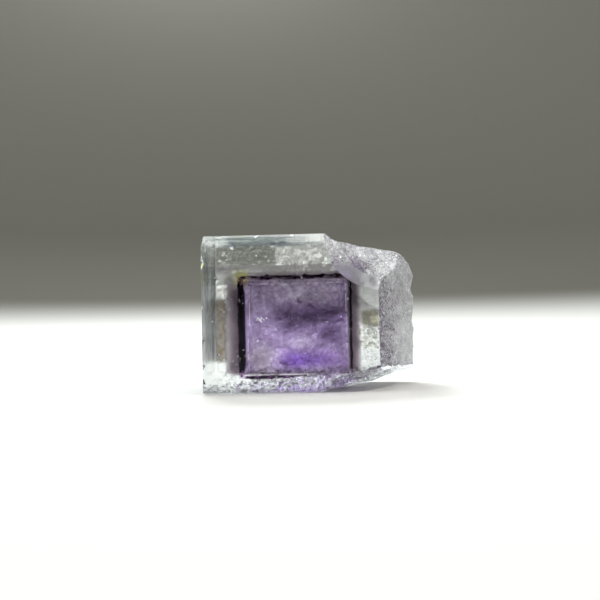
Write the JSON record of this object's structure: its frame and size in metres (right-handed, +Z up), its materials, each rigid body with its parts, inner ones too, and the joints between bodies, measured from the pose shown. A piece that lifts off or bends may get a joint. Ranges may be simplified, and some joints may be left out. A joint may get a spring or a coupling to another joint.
{
  "type": "fluorite crystal",
  "caption": "Broken clear fluorite cube with a violet inner cube, flat stepped growth faces, a shell-shaped break at one corner and a rough broken side.",
  "frame": {"origin": "centre of the bounding box's lower face, on the flat lower cube face that the crystal rests on", "axes": "+Z up, at right angles to the lower cube face; the whole front cube face looks towards -Y, the broken side towards +X"},
  "size_m": [0.018, 0.0132, 0.0128],
  "materials": {
    "clear_fluorite": "clear, faintly violet mineral with glassy natural faces that carry fine growth lines, and frosted patches near its foot",
    "broken_fluorite": "the same mineral where it is broken: grained, frosted and glittering",
    "violet_zone": "violet colour grown into the crystal, darkest along the edges of the inner cube"
  },
  "bodies": {
    "root": {"fluorite_cube": "clear_fluorite", "fluorite_cube_left": "clear_fluorite", "violet_cube": "violet_zone"}
  },
  "joints": []
}
